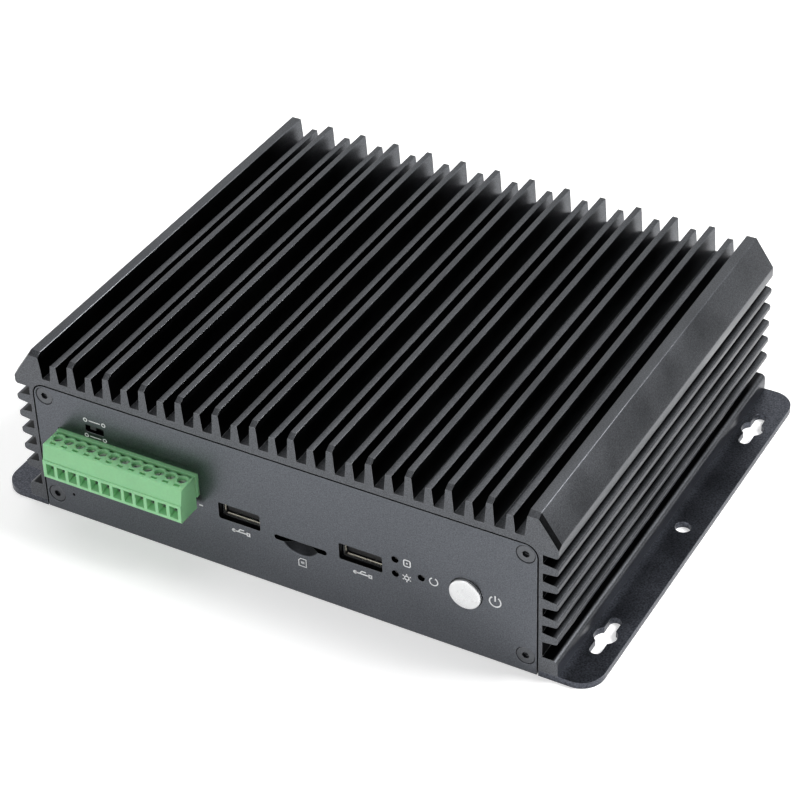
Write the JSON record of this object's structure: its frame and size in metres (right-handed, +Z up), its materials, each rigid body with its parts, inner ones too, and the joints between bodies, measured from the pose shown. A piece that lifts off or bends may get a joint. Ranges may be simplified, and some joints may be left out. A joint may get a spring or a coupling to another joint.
{
  "type": "fanless industrial PC",
  "caption": "Fanless industrial computer in a finned aluminium housing on a flanged base plate, with a pluggable screw terminal, sockets and a push button in front.",
  "frame": {"origin": "centre of the base plate's underside", "axes": "+Z up out of the base plate, the front panel faces -Y, +X to the right seen from the front"},
  "size_m": [0.1938, 0.1598, 0.0554],
  "materials": {
    "housing_aluminium": "matt charcoal coating",
    "panel_metal": "matt charcoal coating",
    "plate_steel": "fine blue-black coating",
    "screw_steel": "dark plated",
    "terminal_plastic": "light green moulded",
    "clamp_metal": "plated",
    "socket_shell": "nickel plated",
    "black_plastic": "black moulded",
    "knob_plastic": "black moulded",
    "lamp_plastic": "clear, unlit",
    "button_metal": "satin",
    "board_laminate": "green laminate",
    "bare_metal": "plain",
    "pad_rubber": "soft pad"
  },
  "bodies": {
    "root": {"heatsink_housing": "housing_aluminium", "front_panel": "panel_metal", "rear_panel": "panel_metal", "base_plate": "plate_steel", "front_panel_screws": "screw_steel", "rear_panel_screws": "screw_steel", "base_plate_screws": "screw_steel", "board_screws": "screw_steel", "drive_post": "screw_steel", "serial_jackscrews": "screw_steel", "terminal_plug": "terminal_plastic", "terminal_header": "terminal_plastic", "terminal_screws": "clamp_metal", "terminal_clamps": "clamp_metal", "terminal_pins": "clamp_metal", "dc_pin": "clamp_metal", "serial_pins": "clamp_metal", "coin_cell": "clamp_metal", "usb_shell_left": "socket_shell", "usb_shell_right": "socket_shell", "usb_rear_shell_left": "socket_shell", "usb_rear_shell_right": "socket_shell", "display_shell": "socket_shell", "serial_shell": "socket_shell", "lan_socket_left": "socket_shell", "lan_socket_right": "socket_shell", "usb_tongue_left": "black_plastic", "usb_tongue_right": "black_plastic", "usb_rear_tongue_left": "black_plastic", "usb_rear_tongue_right": "black_plastic", "display_tongue": "black_plastic", "serial_insert": "black_plastic", "card_socket": "black_plastic", "lamp_holder": "black_plastic", "power_button_switch": "black_plastic", "reset_switch": "black_plastic", "option_switch_body": "black_plastic", "memory_socket": "black_plastic", "drive_socket": "black_plastic", "cell_holder": "black_plastic", "dc_jack": "black_plastic", "processor": "black_plastic", "status_lamps": "lamp_plastic", "main_board": "board_laminate", "option_board": "board_laminate", "reset_board": "board_laminate", "memory_module": "board_laminate", "storage_drive": "board_laminate", "board_standoffs": "bare_metal", "option_board_spacers": "bare_metal", "heat_block": "bare_metal", "board_capacitors": "bare_metal", "thermal_pad": "pad_rubber"},
    "power_button": {"power_button_cap": "button_metal"},
    "option_switch": {"option_switch_knob": "knob_plastic"},
    "reset_button": {"reset_plunger": "knob_plastic"}
  },
  "joints": [
    {"name": "power_button_press", "type": "slide", "parent": "root", "child": "power_button", "axis": [0, 1, 0], "range_m": [0, 0.0008], "stiffness_N_per_m": 2500, "springref_m": -0.0004},
    {"name": "option_switch_slide", "type": "slide", "parent": "root", "child": "option_switch", "axis": [1, 0, 0], "range_m": [0, 0.002]},
    {"name": "reset_button_press", "type": "slide", "parent": "root", "child": "reset_button", "axis": [0, 1, 0], "range_m": [0, 0.0003], "stiffness_N_per_m": 4000, "springref_m": -0.0002}
  ]
}
